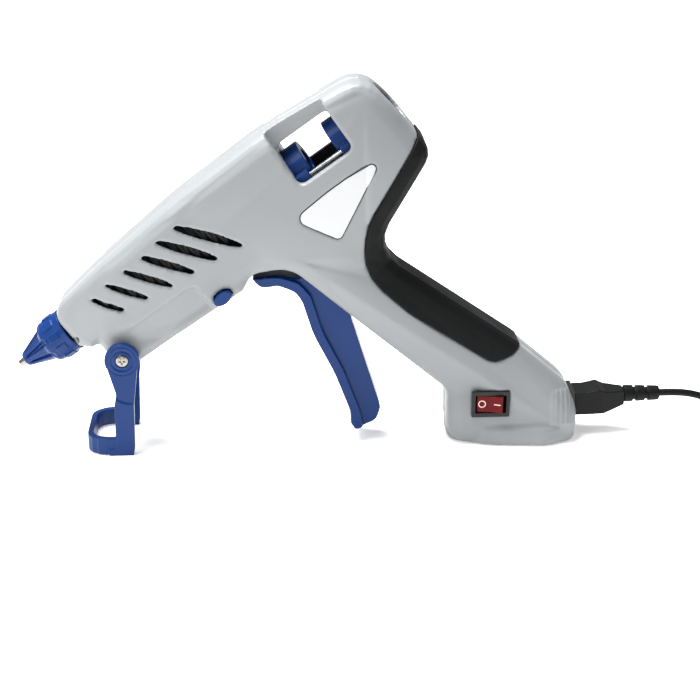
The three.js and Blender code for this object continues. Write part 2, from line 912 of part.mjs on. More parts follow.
function gripperJaw() {
  const blade = plate(
    filleted([
      [carriageFront + 0.6, -7.4, 0],
      [carriageFront + 2.2, -6.9, 0],
      [jawPivot.station + 1.5, -7.6, 1],
      [jawPivot.station + 2.2, -12.4, 1.5],
      [carriageFront + 2.5, -11.4, 2],
    ]),
    -2.4,
    2.4,
  );
  const hole = rodY(1 + gap, -5, 5, jawPivot.station, jawPivot.offset, 12);
  return piece("gripper_jaw", cut(solid(blade), solid(hole)), steel());
}

const jawPin = () =>
  piece("jaw_pin", solid(rodY(1, -5.4, 5.4, jawPivot.station, jawPivot.offset, 12)), steel());

function rearGuide() {
  const front = windowEnd - 8.6;
  const body = joined(
    ring(front, rearStation + 2),
    solid(block(front + 2, windowEnd - 0.6, -guideRod.y - 2.2, -7, -7.4, -1.8)),
    solid(block(front + 2, windowEnd - 0.6, 7, guideRail.y + 2.2, -9.2, -1.8)),
  );
  const funnel = solid(
    turnedX(
      [
        [rearStation - 5, 0],
        [rearStation - 5, stickBore + 0.4],
        [rearStation + 1, ringRadius - 1.5],
        [rearStation + 1, 0],
      ],
      28,
    ),
  );
  const made = cut(
      body,
      funnel,
      solid(rodX(stickBore + 0.4, front - 1, rearStation, 0, 0, 28)),
      solid(rodX(guideRod.radius + gap, front, windowEnd - 3, -guideRod.y, guideRod.z, 12)),
      solid(
        block(front, windowEnd - 3, guideRail.y - 1.5 - gap, guideRail.y + 1.5 + gap, -10, -3 + gap),
      ),
    );
  return piece("rear_guide", onBarrel(made).intersect(bodyForm(2.4)), bluePlastic());
}

const guideStart = carriageFront - feedStroke - 7.5;

const guideRodPiece = () =>
  piece(
    "guide_rod",
    solid(rodX(guideRod.radius, guideStart, windowEnd - 3.4, -guideRod.y, guideRod.z, 12)),
    steel(),
  );

const guideRailPiece = () =>
  piece(
    "guide_rail",
    solid(block(guideStart, windowEnd - 3.4, guideRail.y - 1.5, guideRail.y + 1.5, -8.6, -3)),
    blackPlastic(),
  );

// ---- trigger ----

// Points of the trigger are measured from its pivot pin, so that it follows the pin.
const fromPivot = (points) => points.map(([x, z, r]) => [pivotX + x, pivotZ + z, r]);

const fingerFront = [
  [-42.4, -11, 0],
  [-38.2, -16.6, 6],
  [-28.2, -15.2, 6],
  [-19.6, -18.6, 8],
  [-15.4, -23.6, 10],
  [-9, -44.5, 40],
  [2.7, -67.7, 40],
  [11.9, -92, 6],
  [11.9, -98.8, 3],
  [14.7, -103.1, 2],
];

function trigger() {
  const blade = filleted(
    fromPivot([
      ...fingerFront,
      [17.9, -101.9, 3],
      [26.7, -97.7, 5],
      [29.1, -89.9, 6],
      [10.7, -30.7, 0],
      [10, -2, 0],
      [-6, -2, 0],
      [-16, -12.6, 6],
      [-28, -9.8, 8],
    ]),
  );
  const strip = filleted(
    fromPivot([
      ...fingerFront,
      [19.2, -101.2, 2],
      [17.2, -91, 6],
      [8, -66.2, 40],
      [-3.8, -42.8, 40],
      [-10.2, -21.4, 10],
      [-17, -13.6, 8],
      [-28, -10.2, 6],
    ]),
  );
  const arm = plate(
    filleted([
      [pivotStation - 5, pivotOffset - 3, 0],
      [pivotStation + 6, pivotOffset - 3, 0],
      [drivePin.station + 4.4, drivePin.offset + 4.4, 4],
      [drivePin.station - 4.4, drivePin.offset + 4.4, 4],
    ]),
    -3.4,
    3.4,
  );
  const made = joined(
    solid(plate(blade, -bladeHalfWidth, bladeHalfWidth)),
    solid(plate(strip, -fingerHalfWidth, fingerHalfWidth)),
    solid(rodY(7, -bladeHalfWidth, bladeHalfWidth, pivotX, pivotZ, 24)),
    tilted(arm),
  );
  return piece(
    "trigger",
    cut(
      made,
      solid(rodY(pinRadius + gap, -30, 30, pivotX, pivotZ, 20)),
      tilted(rodY(drivePinRadius + gap, -30, 30, drivePin.station, drivePin.offset, 16)),
    ),
    bluePlastic(),
  );
}

const triggerPin = () =>
  piece("trigger_pin", solid(rodY(pinRadius, -19, 19, pivotX, pivotZ, 20)), steel());

const drivePinPiece = () =>
  piece("drive_pin", solid(rodY(drivePinRadius, -7.6, 7.6, drivePin.station, drivePin.offset, 16)), steel());

// A round-wire spring of a radius and turns along y.
class SpringCurve extends THREE.Curve {
  constructor(radius, turns, centre, yLow, yHigh) {
    super();
    Object.assign(this, { radius, turns, centre, yLow, yHigh });
  }
  getPoint(share, target = new THREE.Vector3()) {
    const angle = 2 * Math.PI * this.turns * share;
    return target.set(
      this.centre[0] + this.radius * Math.cos(angle),
      THREE.MathUtils.lerp(this.yLow, this.yHigh, share),
      this.centre[1] + this.radius * Math.sin(angle),
    );
  }
}

const spring = (name, radius, turns, centre, yLow, yHigh, wire) =>
  piece(
    name,
    solid(tube(new SpringCurve(radius, turns, centre, yLow, yHigh), wire, Math.round(turns * 10), 6)),
    steel(),
  );

// ---- stand ----

// Points of the stand are measured from its pivot.
function standArm(side) {
  const outline = filleted([
    [standX - standHead, standZ, 0],
    [standX - 4.2, standZ - 20.2, 6],
    [standX - 5.4, standZ - 26, 4],
    [standX - 5.8, 4.6, 1.5],
    [standX - 9.7, 3.8, 1],
    [standX - 9.7, 0, 0],
    [standX + 3.9, 0, 0],
    [standX + 4.6, 4.4, 1],
    [standX - 5.6 + armWidth, standZ - 26, 8],
    [standX + standHead - 1, standZ, 0],
  ]);
  const [yLow, yHigh] = side < 0 ? [-armInner - armThickness, -armInner] : [armInner, armInner + armThickness];
  const sunk = side < 0 ? [-30, -armInner - armThickness + 1.9] : [armInner + armThickness - 1.9, 30];
  return cut(
    joined(solid(plate(outline, yLow, yHigh)), solid(rodY(standHead, yLow, yHigh, standX, standZ, 32))),
    solid(rodY(1.6 + gap, -30, 30, standX, standZ, 16)),
    solid(rodY(3.4 + gap, ...sunk, standX, standZ, 20)),
  );
}

// The loop that joins the arms, seen from above, open towards the rear.
function standLoop() {
  const outer = armInner + armThickness - 0.4;
  const rear = standX - 1;
  const front = standX - loopReach;
  const band = (margin, back) =>
    slab(
      filleted([
        [back, -outer + margin, 0],
        [back, outer - margin, 0],
        [front + margin, outer - margin, 12 - margin],
        [front + margin, -outer + margin, 12 - margin],
      ]),
      margin ? -5 : 0.7,
      margin ? 30 : 0.7 + loopHeight,
    );
  return cut(solid(band(0, rear)), solid(band(loopBand, rear + 5)));
}

const stand = () => piece("stand", joined(standArm(-1), standArm(1), standLoop()), bluePlastic());

function standScrew(name, side) {
  const outside = armInner + armThickness;
  const span = (low, high) => (side < 0 ? [-high, -low] : [low, high]);
  const head = solid(rodY(3.2, ...span(outside - 1.9 + gap, outside - 0.1), standX, standZ, 20));
  const shaft = solid(rodY(1.5, ...span(9.5, outside - 1), standX, standZ, 12));
  const slot = (x, z) =>
    solid(block(standX - x, standX + x, ...span(outside - 0.9, outside + 1), standZ - z, standZ + z));
  return piece(name, cut(head.add(shaft), slot(1.8, 0.4), slot(0.4, 1.8)), steel());
}

// ---- latch button, switch and inlet ----

function latchButton() {
  const face = oval(10.8, 6.4, -bodyHalfWidth - 0.1, latchBack, latchPlace);
  const flange = oval(12.6, 3.4, latchBack - 1.6, latchBack, at(recessEnd + 9.4, -30.9));
  return piece("latch_button", joined(face, flange), bluePlastic());
}

function switchBezel() {
  const { x, z } = switchPlace;
  const frame = (growX, growZ, y0, y1) =>
    solid(block(x - growX / 2, x + growX / 2, y0, y1, z - growZ / 2, z + growZ / 2));
  return piece(
    "switch_bezel",
    cut(
      frame(bezelSize.x, bezelSize.z, -bezelFace - bezelSize.thick + gap, -bezelFace + 0.05),
      frame(17.4, 10.6, -40, 0),
    ),
    blackPlastic(),
  );
}

const rockerPivot = 17.4; // half width of the rocker's pivot
const rockerTip = (12 * Math.PI) / 180;

function switchRocker() {
  const face = filleted([
    [-7.9, -4, 1],
    [0, -2.9, 12],
    [7.9, -4, 1],
    [6.2, 2.4, 2],
    [-6.2, 2.4, 2],
  ]);
  const made = slab(face, -4.9, 4.9).rotateZ(-rockerTip).translate(switchPlace.x, -rockerPivot, switchPlace.z);
  return piece("switch_rocker", solid(made), redPlastic());
}

function switchBody() {
  const { x, z } = switchPlace;
  const outer = block(x - cutOut.x / 2, x + cutOut.x / 2, -bezelFace + 0.35, -4, z - cutOut.z / 2, z + cutOut.z / 2);
  const pocket = block(x - 8.7, x + 8.7, -40, -12.2, z - 5.3, z + 5.3);
  const tab = (dx) => solid(block(x + dx - 2.4, x + dx + 2.4, -4.5, 1.5, z - 0.4, z + 0.4));
  return piece("switch_body", joined(cut(solid(outer), solid(pocket)), tab(-5), tab(5)), blackPlastic());
}

function powerInlet() {
  const { z, halfHeight, halfWidth, depth, face } = inlet;
  const outer = block(face - depth, face, -halfWidth, halfWidth, z - halfHeight, z + halfHeight);
  const socket = block(face - depth + 6, face + 5, -halfWidth + 1.6, halfWidth - 1.6, z - halfHeight + 1.6, z + halfHeight - 1.6);
  const pinHole = (y) => solid(rodX(1.2 + gap, face - depth - 1, face, y, z, 12));
  return piece("power_inlet", cut(solid(outer), solid(socket), pinHole(-3.6), pinHole(3.6)), blackPlastic());
}

const inletPin = (name, y) =>
  piece(name, solid(rodX(1.2, inlet.face - inlet.depth - 3, inlet.face - 4, y, inlet.z, 12)), brass());

// ---- wires ----

function wire(name, side) {
  const route = [
    [switchPlace.x + side * 4.4, side * 4, switchPlace.z + 12],
    [handleTopX + 40.5, side * 7, handleTopZ - 6],
    [handleTopX + 19.5, side * 9, handleTopZ + 13],
    [handleTopX + 6.5, side * 10.5, handleTopZ + 32],
    [handleTopX + 10.5, side * 11.5, handleTopZ + 49],
    [...fromRear(46, -29)].toSpliced(1, 0, side * 12.5),
    [...fromRear(74, -27)].toSpliced(1, 0, side * 13),
    [...at(145, -21)].toSpliced(1, 0, side * 12),
    [...at(108, -18)].toSpliced(1, 0, side * 8),
    [...at(heater.end + 1.5, heater.top - 2)].toSpliced(1, 0, side * 4.2),
  ];
  const curve = new THREE.CatmullRomCurve3(route.map((p) => new THREE.Vector3(...p)));
  return piece(name, solid(tube(curve, 1.1, 40, 6)), side < 0 ? redPlastic() : blackRubber());
}

// ---- cord ----

function cordConnector() {
  const x = inlet.face + gap;
  const { z } = inlet;
  const body = solid(
    plate(
      filleted([
        [x, z - 6.9, 1],
        [x, z + 6.4, 1],
        [x + 7, z + 6.6, 3],
        [x + 14, z + 8.4, 2],
        [x + 18.5, z + 6.6, 3],
        [x + 29.4, z + 5.8, 0],
        [x + 29.4, z - 2.6, 0],
        [x + 17.5, z - 6.6, 5],
      ]),
      -8.4,
      8.4,
    ),
  );
  const taper = solid(
    slab(
      filleted([
        [x - 1, -8.6, 0],
        [x - 1, 8.6, 0],
        [x + 16, 8.2, 5],
        [x + 30, 4.4, 0],
        [x + 30, -4.4, 0],
        [x + 16, -8.2, 5],
      ]),
      0,
      60,
    ),
  );
  const tongue = solid(block(x - 15, x + 1, -7, 7, z - 5.6, z + 5.6));
  const hole = (y) => solid(rodX(1.2 + gap, x - 16, x - 2.8, y, z, 12));
  return piece("cord_connector", cut(body.intersect(taper).add(tongue), hole(-3.6), hole(3.6)), blackRubber());
}

const reliefStart = inlet.face + 29.4 + 2 * gap;
const reliefLength = 20.4;
const reliefHeight = inlet.z + 2.6;

function strainRelief() {
  const profile = [[reliefStart, 0]];
  for (let i = 0; i < 3; i++) {
    const x = reliefStart + i * 7;
    const r = 5 - i * 0.25;
    profile.push([x, r], [x + 5, r - 0.2], [x + 5, r - 1.2], [x + 7, r - 1.3]);
  }
  profile.length -= 2;
  profile.push([reliefStart + reliefLength, 4], [reliefStart + reliefLength, 0]);
  return piece(
    "strain_relief",
    solid(turnedX(profile, 20).translate(0, 0, reliefHeight)),
    blackRubber(),
  );
}

const cordExit = reliefStart + reliefLength;
const coilCentre = { x: cordExit + coilAhead, y: 0 };
const coilWide = coilTurnsAcross * 2 * cordRadius;
const coilOuter = coilTurnRadius + coilWide / 2;
const coilInner = coilTurnRadius - coilWide / 2;
const coilHeight = coilLayers * 2 * cordRadius;

// From the strain relief down to the floor and up to the coil.
function cord() {
  const route = [
    [cordExit + gap, 0, reliefHeight],
    [cordExit + 9, 0, reliefHeight],
    [cordExit + 19, -0.3, reliefHeight - 0.8],
    [cordExit + 28, -1.9, reliefHeight - 3.3],
    [cordExit + 38, -5.4, 12.8],
    [cordExit + 47, -10.2, 6.6],
    [cordExit + 55, -15.7, cordRadius + 0.9],
    [coilCentre.x - 25.5, -21.5, cordRadius + 0.1],
  ];
  const curve = new THREE.CatmullRomCurve3(route.map((p) => new THREE.Vector3(...p)));
  return piece("cord", solid(tube(curve, cordRadius, 24, 8)), cordJacket());
}

function coil() {
  const ringProfile = [
    [0.1, coilInner],
    [0.1, coilOuter],
    [coilHeight, coilOuter],
    [coilHeight, coilInner],
    [0.1, coilInner],
  ];
  const made = new THREE.LatheGeometry(
    ringProfile.map(([z, r]) => new THREE.Vector2(r, z)),
    36,
  )
    .rotateX(Math.PI / 2)
    .translate(coilCentre.x, coilCentre.y, 0);
  return piece("cord_coil", solid(made), cordJacket());
}

function coilTie() {
  const inner = [coilCentre.x + coilInner, coilCentre.x + coilOuter];
  const frame = (grow, y) =>
    solid(block(inner[0] - grow, inner[1] + grow, -y, y, grow > 1 ? 0.05 : -0.25, coilHeight + grow));
  const band = cut(frame(1.3, 3), frame(gap, 5));
  return piece("coil_tie", band.translate([0, coilCentre.y, 0]), blackPlastic());
}

const plugPlace = { x: coilCentre.x + coilOuter + 5.3, y: coilCentre.y - 14, z: 6.9 };

function plugBody() {
  const { x, y, z } = plugPlace;
  const body = slab(
    filleted([
      [-17, -3.2, 1],
      [-17, 3.2, 1],
      [-2, 6.5, 4],
      [2, 13, 5],
      [20, 17.5, 5],
      [20, -17.5, 5],
      [2, -13, 5],
      [-2, -6.5, 4],
    ]),
    z - 6.8,
    z + 6.8,
  );
  const tail = rodX(3.4, -34, -16, 0, z, 14);
  const hole = (side) => solid(rodX(2.4 + gap, 12, 25, side * 9.5, z, 12));
  const made = cut(joined(solid(body), solid(tail)), hole(-1), hole(1));
  return piece("plug_body", made.translate([x + 34, y, 0]), blackRubber());
}

function plugPin(name, side) {
  const { x, y, z } = plugPlace;
  return piece(name, solid(rodX(2.4, x + 46.5, x + 73, y + side * 9.5, z, 12)), steel());
}

// From the coil to the plug.
function cordTail() {
  const { x, y, z } = plugPlace;
  const route = [
    [x - 8.4, y - 5.4, 10.2],
    [x - 5.4, y - 2, 8.2],
    [x - 1.3, y, z],
  ];
  const curve = new THREE.CatmullRomCurve3(route.map((p) => new THREE.Vector3(...p)));
  return piece("cord_tail", solid(tube(curve, cordRadius, 8, 8)), cordJacket());
}

// ---- assembly ----

const gun = new THREE.Group();
const barrel = new THREE.Group();
barrel.position.set(nozzleEnd.x, 0, nozzleEnd.z);
barrel.rotation.y = -barrelRise;

barrel.add(
  nozzleCollar(),
  nozzleTip(),
  meltChamber(),
  ptcHeater(),
  heaterClip(),
  chamberMount("chamber_mount_front", chamberFront + 13),
  chamberMount("chamber_mount_rear", chamberBack - 16.5),
  inletSleeve(),
  sleeveClamp(),
  thermalFuse(),
  feedCarriage(),
  gripperJaw(),
  jawPin(),
  guideRodPiece(),
  guideRailPiece(),
  drivePinPiece(),
);

gun.add(
  barrel,
  housingShell("housing_left", -1),
  housingShell("housing_right", 1),
  grip(),
  rearGuide(),
  badge("badge_left", -1),
  badge("badge_right", 1),
  trigger(),
  triggerPin(),
  spring("trigger_spring", 4, 2.5, [pivotX, pivotZ], 9.1, 11, 0.35),
  stand(),
  standScrew("stand_screw_left", -1),
  standScrew("stand_screw_right", 1),
  latchButton(),
  spring("latch_spring", 1.4, 3, latchPlace, latchBack + 2.2, latchBack + 5.4, 0.35),
  switchBezel(),
  switchRocker(),
  switchBody(),
  powerInlet(),
  inletPin("inlet_pin_left", -3.6),
  inletPin("inlet_pin_right", 3.6),
  wire("wire_live", -1),
  wire("wire_neutral", 1),
  cordConnector(),
  strainRelief(),
  cord(),
  coil(),
  coilTie(),
  cordTail(),
  plugBody(),
  plugPin("plug_pin_left", -1),
  plugPin("plug_pin_right", 1),
);
screwPlaces.forEach((place, i) => gun.add(housingScrew(i)));

export default gun;
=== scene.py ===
# A corded glue gun on its fold-out stand: blue plastic, grey shells, a rubber grip and a mains cord.
import bpy, bmesh, json, math
import numpy as np
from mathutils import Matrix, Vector
from mathutils.geometry import convex_hull_2d


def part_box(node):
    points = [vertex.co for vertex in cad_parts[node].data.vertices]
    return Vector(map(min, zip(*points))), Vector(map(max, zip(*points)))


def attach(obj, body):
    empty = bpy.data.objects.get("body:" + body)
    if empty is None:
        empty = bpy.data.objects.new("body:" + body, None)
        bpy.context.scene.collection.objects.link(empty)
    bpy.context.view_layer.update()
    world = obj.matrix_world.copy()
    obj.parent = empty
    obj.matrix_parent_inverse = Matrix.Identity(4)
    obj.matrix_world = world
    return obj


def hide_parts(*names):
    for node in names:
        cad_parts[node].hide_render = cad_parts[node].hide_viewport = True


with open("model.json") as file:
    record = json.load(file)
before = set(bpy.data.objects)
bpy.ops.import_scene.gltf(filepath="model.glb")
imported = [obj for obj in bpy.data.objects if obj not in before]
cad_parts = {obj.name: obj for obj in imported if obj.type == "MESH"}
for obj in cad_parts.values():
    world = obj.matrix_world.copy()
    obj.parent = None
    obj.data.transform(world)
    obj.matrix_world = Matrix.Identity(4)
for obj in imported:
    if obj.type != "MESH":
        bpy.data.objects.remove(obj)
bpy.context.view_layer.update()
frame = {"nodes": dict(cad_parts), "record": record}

nodes = frame["nodes"]
print("frame loaded:", len(nodes), "pieces")

# Place and direction in metres, focal length and sensor width in millimetres.
cameraSetup = {"place": (-0.01493, -0.8362, 0.3819), "look": (0.0487, 0.9291, -0.3665), "lens": 81.5, "sensor": 36}
cameraData = bpy.data.cameras.new("camera")
cameraData.lens = cameraSetup["lens"]
cameraData.sensor_width = cameraSetup["sensor"]
camera = bpy.data.objects.new("camera", cameraData)
camera.location = cameraSetup["place"]
camera.rotation_mode = "QUATERNION"
camera.rotation_quaternion = Vector(cameraSetup["look"]).to_track_quat("-Z", "Y")
bpy.context.scene.collection.objects.link(camera)
bpy.context.scene.camera = camera


def linearColour(code):  # "#rrggbb" in sRGB to linear red, green, blue, 1
    parts = [int(code[i:i + 2], 16) / 255 for i in (1, 3, 5)]
    return [p / 12.92 if p <= 0.04045 else ((p + 0.055) / 1.055) ** 2.4 for p in parts] + [1]


def addNode(tree, kind, settings={}, inputs={}):  # one node: its settings, then a value or a link for each input
    made = tree.nodes.new(kind)
    for key, value in settings.items():
        setattr(made, key, value)
    for key, value in inputs.items():
        if isinstance(value, bpy.types.NodeSocket):
            tree.links.new(value, made.inputs[key])
        else:
            made.inputs[key].default_value = value
    return made


def ramp(tree, source, stops):  # stops are (place, colour) pairs
    made = addNode(tree, "ShaderNodeValToRGB", inputs={"Fac": source})
    bar = made.color_ramp
    bar.elements[0].position, bar.elements[0].color = stops[0]
    bar.elements[1].position, bar.elements[1].color = stops[-1]
    for place, colour in stops[1:-1]:
        bar.elements.new(place).color = colour
    return made.outputs["Color"]


black, white = (0, 0, 0, 1), (1, 1, 1, 1)

# Pattern sizes shared by every finish, in millimetres, and where each noise is cut to make its pattern.
pattern = {"rub": 4, "rubCut": (0.35, 0.65), "haze": 12, "hazeCut": (0.3, 0.7), "driftCut": (0.3, 0.7)}


# Base colour with a slow drift and a paler worn edge, hazy gloss, and a grain in the bump.
# The noise scale is 1000 / size in millimetres, because object coordinates are metres.
def finished(name, look):
    made = bpy.data.materials.new(name)
    made.use_nodes = True
    tree = made.node_tree
    shader = tree.nodes["Principled BSDF"]
    place = addNode(tree, "ShaderNodeTexCoord").outputs["Object"]
    base = linearColour(look["colour"])
    dim = [c * (1 - look.get("drift", 0.06)) for c in base[:3]] + [1]
    slow = addNode(tree, "ShaderNodeTexNoise",
                   inputs={"Vector": place, "Scale": 1000 / look.get("driftSize", 30), "Detail": 3})
    colour = ramp(tree, slow.outputs["Fac"], [(pattern["driftCut"][0], dim), (pattern["driftCut"][1], base)])
    worn = look.get("worn")
    if worn:
        bend = addNode(tree, "ShaderNodeNewGeometry").outputs["Pointiness"]
        edge = ramp(tree, bend, [(0.5 + worn["from"], black), (0.5 + worn["to"], white)])
        rub = addNode(tree, "ShaderNodeTexNoise",
                      inputs={"Vector": place, "Scale": 1000 / pattern["rub"], "Detail": 4})
        patch = ramp(tree, rub.outputs["Fac"], [(pattern["rubCut"][0], black), (pattern["rubCut"][1], white)])
        share = addNode(tree, "ShaderNodeMath", {"operation": "MULTIPLY"}, {0: edge, 1: patch}).outputs[0]
        amount = addNode(tree, "ShaderNodeMath", {"operation": "MULTIPLY"}, {0: share, 1: worn["amount"]}).outputs[0]
        mixed = addNode(tree, "ShaderNodeMix", {"data_type": "RGBA"},
                        {"Factor": amount, "A": colour, "B": linearColour(worn["colour"])})
        colour = mixed.outputs["Result"]
    tree.links.new(colour, shader.inputs["Base Color"])
    haze = addNode(tree, "ShaderNodeTexNoise",
                   inputs={"Vector": place, "Scale": 1000 / pattern["haze"], "Detail": 5})
    spread = look.get("haze", 0.04)
    gloss = addNode(tree, "ShaderNodeMapRange", inputs={
        "Value": haze.outputs["Fac"], "From Min": pattern["hazeCut"][0], "From Max": pattern["hazeCut"][1],
        "To Min": look["roughness"] - spread, "To Max": look["roughness"] + spread})
    tree.links.new(gloss.outputs["Result"], shader.inputs["Roughness"])
    grain = addNode(tree, "ShaderNodeTexNoise",
                    inputs={"Vector": place, "Scale": 1000 / look["grain"], "Detail": 2, "Roughness": 0.6})
    bump = addNode(tree, "ShaderNodeBump", inputs={
        "Strength": look.get("bump", 0.3), "Distance": look["relief"] / 1000, "Height": grain.outputs["Fac"]})
    tree.links.new(bump.outputs["Normal"], shader.inputs["Normal"])
    shader.inputs["Metallic"].default_value = look.get("metallic", 0)
    for key in ("IOR", "Coat Weight", "Coat Roughness", "Specular IOR Level", "Emission Color", "Emission Strength"):
        if key in look:
            shader.inputs[key].default_value = look[key]
    return made


# Spark-eroded ABS: a satin skin, a little paler on worn edges. Its 0.4 mm grain is drawn at 0.7 mm to show.
satinAbs = finished("satin grey ABS", {
    "colour": "#828587", "drift": 0.05, "driftSize": 45, "roughness": 0.42, "haze": 0.05, "grain": 0.7,
    "relief": 0.05, "bump": 0.35, "IOR": 1.53,
    "worn": {"from": 0.03, "to": 0.12, "amount": 0.4, "colour": "#a4a7a9"}})
# Polished nylon: deep, even blue with long soft highlights and a faint orange-peel.
blueNylon = finished("polished blue nylon", {
    "colour": "#062c64", "drift": 0.08, "driftSize": 25, "roughness": 0.34, "haze": 0.05, "grain": 1.1,
    "relief": 0.02, "bump": 0.15, "Specular IOR Level": 0.2,
    "worn": {"from": 0.1, "to": 0.3, "amount": 0.3, "colour": "#2a5ca8"}})
# Thermoplastic rubber, moulded over the handle: nearly black, dull, with a fine pebbled skin.
softRubber = finished("pebbled black rubber", {
    "colour": "#101112", "drift": 0.15, "driftSize": 15, "roughness": 0.62, "haze": 0.06, "grain": 0.6,
    "relief": 0.09, "bump": 0.5, "Specular IOR Level": 0.12,
    "worn": {"from": 0.05, "to": 0.16, "amount": 0.4, "colour": "#3c3f41"}})
# Black ABS from a polished tool: darker and a little glossier than the rubber.
blackAbs = finished("moulded black ABS", {
    "colour": "#0f1011", "drift": 0.1, "roughness": 0.4, "grain": 0.6, "relief": 0.04, "Specular IOR Level": 0.3,
    "worn": {"from": 0.05, "to": 0.16, "amount": 0.3, "colour": "#303335"}})
# Soft PVC: matt black with a slight oily sheen, as on any flexible cord.
softPvc = finished("flexible black PVC", {
    "colour": "#090a0a", "drift": 0.12, "roughness": 0.5, "grain": 0.5, "relief": 0.03, "Specular IOR Level": 0.15,
    "worn": {"from": 0.05, "to": 0.16, "amount": 0.25, "colour": "#2c2f31"}})
# Lacquered foil: an even pale silver under a thin clear coat.
silverLacquer = finished("silver lacquered plate", {
    "colour": "#bfc0c2", "drift": 0.02, "roughness": 0.3, "grain": 0.5, "relief": 0.015, "Coat Weight": 0.4,
    "Coat Roughness": 0.15})
# Plated metal: warm, bright and clouded by heat and handling.
nickel = finished("bright nickel plate", {
    "colour": "#8f8c86", "drift": 0.1, "driftSize": 6, "roughness": 0.22, "haze": 0.08, "grain": 0.4,
    "relief": 0.02, "metallic": 1})
# Drawn wire and pressed sheet: cool grey with fine streaky gloss.
brushedSteel = finished("drawn steel", {
    "colour": "#b4b7bb", "drift": 0.12, "driftSize": 8, "roughness": 0.3, "haze": 0.1, "grain": 0.35,
    "relief": 0.02, "metallic": 1})
# Cast aluminium: dull, slightly pitted, with cloudy patches from the die.
castAluminium = finished("die-cast aluminium", {
    "colour": "#a9abad", "drift": 0.15, "driftSize": 5, "roughness": 0.5, "haze": 0.1, "grain": 0.8,
    "relief": 0.06, "metallic": 1})
# Turned brass: yellow metal with a fine bright cut.
brass = finished("turned brass", {
    "colour": "#b8934a", "drift": 0.12, "driftSize": 6, "roughness": 0.3, "haze": 0.08, "grain": 0.3,
    "relief": 0.02, "metallic": 1})
# Moulded silicone: a soft, matt brick red.
redSilicone = finished("red silicone", {
    "colour": "#b5452f", "drift": 0.08, "roughness": 0.5, "grain": 0.5, "relief": 0.03})
# Fired ceramic with no glaze: chalky cream, with no gloss at all.
bisque = finished("unglazed ceramic", {
    "colour": "#e4dfd3", "drift": 0.06, "driftSize": 5, "roughness": 0.75, "grain": 0.5, "relief": 0.05})
# Polycarbonate from a mirror-finish tool: a deep, even red that looks wet.
redPolycarbonate = finished("polished red polycarbonate", {
    "colour": "#5c080c", "drift": 0.06, "roughness": 0.3, "haze": 0.04, "grain": 0.8, "relief": 0.01,
    "Specular IOR Level": 0.12})

slotLooks = {"shell": satinAbs, "blue": blueNylon, "grip": softRubber, "black": blackAbs, "red": redPolycarbonate,
             "badge": silverLacquer, "steel": brushedSteel, "aluminium": castAluminium, "brass": brass,
             "silicone": redSilicone, "ceramic": bisque, "jacket": softPvc}
nodeSlots = {part["node"]: part["material_slot"] for part in frame["record"]["subparts"]}
nodeBodies = {node: body for body, members in frame["record"]["behaviour"]["bodies"].items() for node in members}
for name, slot in nodeSlots.items():
    thing = nodes[name]
    if not thing.material_slots:
        thing.data.materials.append(slotLooks[slot])
    for place in thing.material_slots:
        place.material = nickel if name == "nozzle_tip" or "screw" in name else slotLooks[slot]
print("materials made")


# A pale ring and bar are printed on the rocker's face, in the rocker's own turned coordinates, in metres.
# Each mark is (its middle along the rocker, its radius or half length); line is half the stroke's width.
rockerMarks = {"pivot": (0.10745, -0.0174, 0.0255), "turn": 12, "ring": (-0.0043, 0.0019),
               "bar": (0.0044, 0.0019), "line": 0.00026, "ink": "#e8cfcd"}
tree = redPolycarbonate.node_tree
turned = addNode(tree, "ShaderNodeMapping", {"vector_type": "TEXTURE"}, {
    "Vector": addNode(tree, "ShaderNodeTexCoord").outputs["Object"], "Location": rockerMarks["pivot"],
    "Rotation": (0, 0, -math.radians(rockerMarks["turn"]))})
across = addNode(tree, "ShaderNodeSeparateXYZ", inputs={"Vector": turned.outputs["Vector"]})


def mathNode(operation, *values):
    return addNode(tree, "ShaderNodeMath", {"operation": operation}, dict(enumerate(values))).outputs[0]


ringX = mathNode("SUBTRACT", across.outputs["X"], rockerMarks["ring"][0])
ringFar = mathNode("SQRT", mathNode("ADD", mathNode("MULTIPLY", ringX, ringX),
                                    mathNode("MULTIPLY", across.outputs["Z"], across.outputs["Z"])))
ringGap = mathNode("ABSOLUTE", mathNode("SUBTRACT", ringFar, rockerMarks["ring"][1]))
onRing = mathNode("LESS_THAN", ringGap, rockerMarks["line"])
barFar = mathNode("ABSOLUTE", mathNode("SUBTRACT", across.outputs["X"], rockerMarks["bar"][0]))
onBar = mathNode("MULTIPLY", mathNode("LESS_THAN", barFar, rockerMarks["bar"][1]),
                 mathNode("LESS_THAN", mathNode("ABSOLUTE", across.outputs["Z"]), rockerMarks["line"]))
shader = tree.nodes["Principled BSDF"]
printed = addNode(tree, "ShaderNodeMix", {"data_type": "RGBA"}, {
    "Factor": mathNode("MAXIMUM", onRing, onBar), "A": shader.inputs["Base Color"].links[0].from_socket,
    "B": linearColour(rockerMarks["ink"])})
tree.links.new(printed.outputs["Result"], shader.inputs["Base Color"])
print("rocker marked")


def step(low, high, value):  # an S-shaped rise from 0 to 1: 3s^2 - 2s^3
    share = np.clip((value - low) / (high - low), 0, 1)
    return share * share * (3 - 2 * share)


